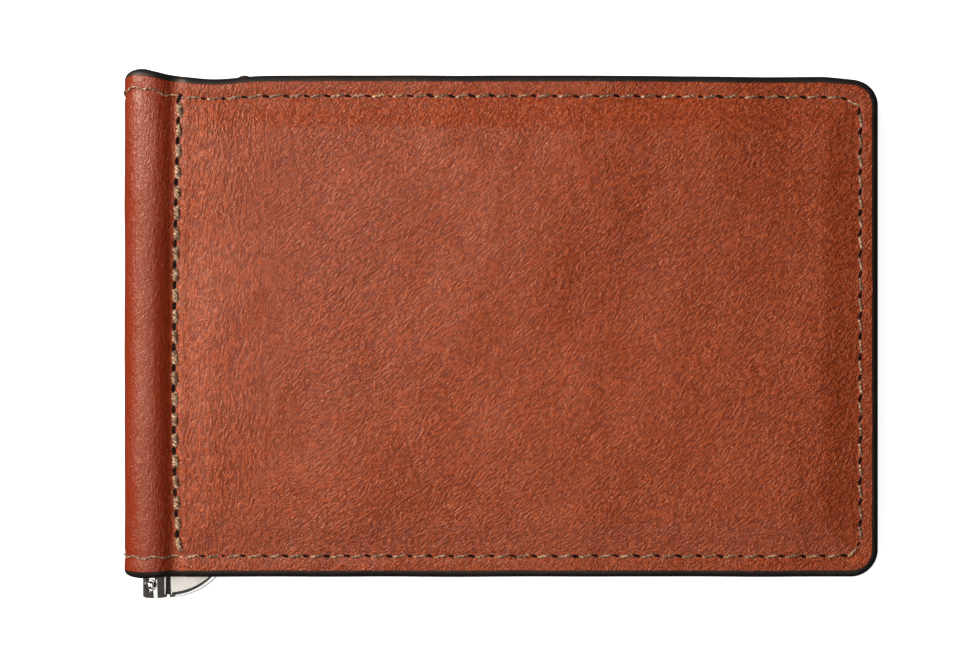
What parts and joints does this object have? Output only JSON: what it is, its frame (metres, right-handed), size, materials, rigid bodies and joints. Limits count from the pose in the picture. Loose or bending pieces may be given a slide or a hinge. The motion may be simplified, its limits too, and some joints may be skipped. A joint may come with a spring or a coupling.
{
  "type": "money clip wallet",
  "caption": "Closed bifold leather money clip: two padded stitched covers with inner card pockets, a rolled spine, and a sprung metal note clip on a hinge tube in the spine.",
  "frame": {"origin": "middle of the back cover's outer face, on the surface that the closed wallet lies on", "axes": "+X from the spine to the fore edge, +Y along the spine away from the clip's fin, +Z out of the front cover"},
  "size_m": [0.1106, 0.0775, 0.0116],
  "materials": {
    "leather": "glazed, fine wrinkled grain, black painted edges",
    "pocket_leather": "smooth, satin",
    "lining": "fine woven",
    "board": "pressed fibre board",
    "thread": "twisted, waxed",
    "satin_nickel": "satin with polished edges",
    "bright_metal": "polished",
    "spring_steel": "ground",
    "bushing_brass": "turned",
    "washer_plastic": "natural"
  },
  "bodies": {
    "back_cover": {"back_outer": "leather", "back_board": "board", "back_lining": "lining", "back_pocket_1": "pocket_leather", "back_pocket_2": "pocket_leather", "back_pocket_3": "pocket_leather", "back_thread": "thread", "back_seam_thread": "thread"},
    "spine": {"spine_outer": "leather", "spine_lining": "lining", "spine_thread": "thread", "clip_sleeve": "pocket_leather", "hinge_tube": "bright_metal", "lower_bushing": "bushing_brass", "upper_bushing": "bushing_brass", "thrust_washer": "washer_plastic", "torsion_spring": "spring_steel", "spring_anchor_pin": "spring_steel", "tube_cap": "bright_metal"},
    "front_cover": {"front_outer": "leather", "front_board": "board", "front_lining": "lining", "front_pocket_1": "pocket_leather", "front_pocket_2": "pocket_leather", "front_pocket_3": "pocket_leather", "front_thread": "thread", "front_seam_thread": "thread"},
    "clip": {"clip_arm": "satin_nickel", "axle": "spring_steel", "cross_pin": "bright_metal", "retaining_ring": "spring_steel"}
  },
  "joints": [
    {"name": "back_fold", "type": "hinge", "parent": "back_cover", "child": "spine", "pos_m": [-0.0537, 0, 0.0016], "axis": [0, -1, 0], "range_deg": [0, 90]},
    {"name": "front_fold", "type": "hinge", "parent": "spine", "child": "front_cover", "pos_m": [-0.0537, 0, 0.01], "axis": [0, -1, 0], "range_deg": [0, 90]},
    {"name": "clip_swing", "type": "hinge", "parent": "spine", "child": "clip", "pos_m": [-0.0514, 0, 0.0058], "axis": [0, -1, 0], "range_deg": [0, 80]}
  ],
  "couplings": [
    {"joint": "clip_swing", "follows": "front_fold", "ratio": 0.888}
  ]
}
